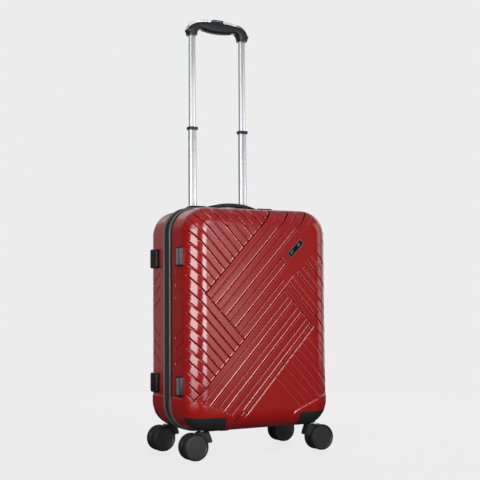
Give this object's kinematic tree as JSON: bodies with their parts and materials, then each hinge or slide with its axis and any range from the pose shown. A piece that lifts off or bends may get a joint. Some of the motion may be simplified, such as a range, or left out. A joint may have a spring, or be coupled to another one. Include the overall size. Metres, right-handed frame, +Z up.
{
  "type": "hard shell suitcase",
  "caption": "Cabin-size hard shell spinner suitcase with ribbed shells, twin-wheel casters, two-stage trolley handle and zipped clamshell opening.",
  "frame": {"origin": "on the floor under the middle of the case, on the plane of the zip", "axes": "+X to the viewer's right when facing the front shell, -Y out of the front shell, +Z up"},
  "size_m": [0.3803, 0.2344, 1.0305],
  "materials": {
    "shell_red": "gloss metallic",
    "lining_cloth": "woven",
    "webbing": "woven",
    "piping_vinyl": "semi gloss",
    "zip_tape": "woven",
    "zip_coil": "satin",
    "zip_metal": "satin",
    "lock_plastic": "satin",
    "lock_metal": "satin",
    "moulding_black": "fine grain",
    "tube_aluminium": "satin anodised",
    "grip_black": "semi gloss",
    "trim_silver": "satin",
    "steel": "plain",
    "handle_rubber": "soft satin",
    "handle_plastic": "semi gloss",
    "badge_dark": "gloss",
    "hub_plastic": "turned satin",
    "tyre_rubber": "matte"
  },
  "bodies": {
    "rear_case": {"rear_shell": "shell_red", "rear_lining": "lining_cloth", "packing_strap": "webbing", "rear_piping": "piping_vinyl", "rear_zip_tape": "zip_tape", "rear_zip_coil": "zip_coil", "hinge_fabric": "zip_tape", "lock_housing": "lock_plastic", "trolley_bezel": "moulding_black", "outer_tubes": "tube_aluminium", "tube_bracket": "moulding_black", "top_handle_strap": "handle_rubber", "top_handle_mounts": "handle_plastic", "side_handle_strap": "handle_rubber", "side_handle_mounts": "handle_plastic", "rear_feet": "handle_plastic", "rear_wheel_housings": "moulding_black", "rear_kingpins": "steel"},
    "front_case": {"front_shell": "shell_red", "front_lining": "lining_cloth", "front_piping": "piping_vinyl", "front_zip_tape": "zip_tape", "front_zip_coil": "zip_coil", "front_feet": "handle_plastic", "badge_bezel": "trim_silver", "badge_plate": "badge_dark", "front_wheel_housings": "moulding_black", "front_kingpins": "steel"},
    "middle_stage": {"middle_tubes": "tube_aluminium", "middle_collars": "moulding_black"},
    "inner_stage": {"inner_tubes": "tube_aluminium", "tube_latches": "moulding_black", "grip": "grip_black", "grip_trim": "trim_silver"},
    "grip_release": {"grip_button": "grip_black", "release_rods": "steel"},
    "upper_slider": {"zip_slider_upper": "zip_metal"},
    "lower_slider": {"zip_slider_lower": "zip_metal"},
    "upper_pull": {"zip_pull_upper": "zip_metal"},
    "lower_pull": {"zip_pull_lower": "zip_metal"},
    "lock_release": {"lock_button": "lock_metal"},
    "dial_1": {"lock_dial_1": "lock_plastic"},
    "dial_2": {"lock_dial_2": "lock_plastic"},
    "dial_3": {"lock_dial_3": "lock_plastic"},
    "front_left_caster": {"front_left_fork": "moulding_black"},
    "front_left_wheels": {"front_left_axle": "steel", "front_left_hubs": "hub_plastic", "front_left_tyres": "tyre_rubber"},
    "front_right_caster": {"front_right_fork": "moulding_black"},
    "front_right_wheels": {"front_right_axle": "steel", "front_right_hubs": "hub_plastic", "front_right_tyres": "tyre_rubber"},
    "rear_left_caster": {"rear_left_fork": "moulding_black"},
    "rear_left_wheels": {"rear_left_axle": "steel", "rear_left_hubs": "hub_plastic", "rear_left_tyres": "tyre_rubber"},
    "rear_right_caster": {"rear_right_fork": "moulding_black"},
    "rear_right_wheels": {"rear_right_axle": "steel", "rear_right_hubs": "hub_plastic", "rear_right_tyres": "tyre_rubber"}
  },
  "joints": [
    {"name": "case_hinge", "type": "hinge", "parent": "rear_case", "child": "front_case", "pos_m": [-0.1906, 0, 0.304], "axis": [0, 0, -1], "range_deg": [0, 180]},
    {"name": "middle_stage_slide", "type": "slide", "parent": "rear_case", "child": "middle_stage", "axis": [0, 0, 1], "range_m": [-0.2, 0]},
    {"name": "inner_stage_slide", "type": "slide", "parent": "middle_stage", "child": "inner_stage", "axis": [0, 0, 1], "range_m": [-0.222, 0]},
    {"name": "grip_button_press", "type": "slide", "parent": "inner_stage", "child": "grip_release", "axis": [0, 0, -1], "range_m": [0, 0.0035], "stiffness_N_per_m": 800, "springref_m": -0.001},
    {"name": "upper_slider_run", "type": "slide", "parent": "rear_case", "child": "upper_slider", "axis": [0, 0, 1], "range_m": [0, 0.075]},
    {"name": "lower_slider_run", "type": "slide", "parent": "rear_case", "child": "lower_slider", "axis": [0, 0, 1], "range_m": [-0.215, 0]},
    {"name": "upper_pull_swing", "type": "hinge", "parent": "upper_slider", "child": "upper_pull", "pos_m": [0.1892, 0, 0.4025], "axis": [0, -1, 0], "range_deg": [0, 150]},
    {"name": "lower_pull_swing", "type": "hinge", "parent": "lower_slider", "child": "lower_pull", "pos_m": [0.1892, 0, 0.3685], "axis": [0, -1, 0], "range_deg": [0, 150]},
    {"name": "lock_button_press", "type": "slide", "parent": "rear_case", "child": "lock_release", "axis": [-1, 0, 0], "range_m": [0, 0.0015], "stiffness_N_per_m": 400, "springref_m": -0.001},
    {"name": "dial_1_turn", "type": "hinge", "parent": "rear_case", "child": "dial_1", "pos_m": [0.183, 0.033, 0.46], "axis": [0, 0, 1], "continuous": true},
    {"name": "dial_2_turn", "type": "hinge", "parent": "rear_case", "child": "dial_2", "pos_m": [0.183, 0.033, 0.469], "axis": [0, 0, 1], "continuous": true},
    {"name": "dial_3_turn", "type": "hinge", "parent": "rear_case", "child": "dial_3", "pos_m": [0.183, 0.033, 0.478], "axis": [0, 0, 1], "continuous": true},
    {"name": "front_left_swivel", "type": "hinge", "parent": "front_case", "child": "front_left_caster", "pos_m": [-0.14, -0.0845, 0.055], "axis": [0, 0, 1], "continuous": true},
    {"name": "front_left_roll", "type": "hinge", "parent": "front_left_caster", "child": "front_left_wheels", "pos_m": [-0.161, -0.0845, 0.0285], "axis": [0, 1, 0], "continuous": true},
    {"name": "front_right_swivel", "type": "hinge", "parent": "front_case", "child": "front_right_caster", "pos_m": [0.14, -0.0845, 0.055], "axis": [0, 0, 1], "continuous": true},
    {"name": "front_right_roll", "type": "hinge", "parent": "front_right_caster", "child": "front_right_wheels", "pos_m": [0.161, -0.0845, 0.0285], "axis": [0, 1, 0], "continuous": true},
    {"name": "rear_left_swivel", "type": "hinge", "parent": "rear_case", "child": "rear_left_caster", "pos_m": [-0.14, 0.0845, 0.055], "axis": [0, 0, 1], "continuous": true},
    {"name": "rear_left_roll", "type": "hinge", "parent": "rear_left_caster", "child": "rear_left_wheels", "pos_m": [-0.161, 0.0845, 0.0285], "axis": [0, 1, 0], "continuous": true},
    {"name": "rear_right_swivel", "type": "hinge", "parent": "rear_case", "child": "rear_right_caster", "pos_m": [0.14, 0.0845, 0.055], "axis": [0, 0, 1], "continuous": true},
    {"name": "rear_right_roll", "type": "hinge", "parent": "rear_right_caster", "child": "rear_right_wheels", "pos_m": [0.161, 0.0845, 0.0285], "axis": [0, 1, 0], "continuous": true}
  ]
}
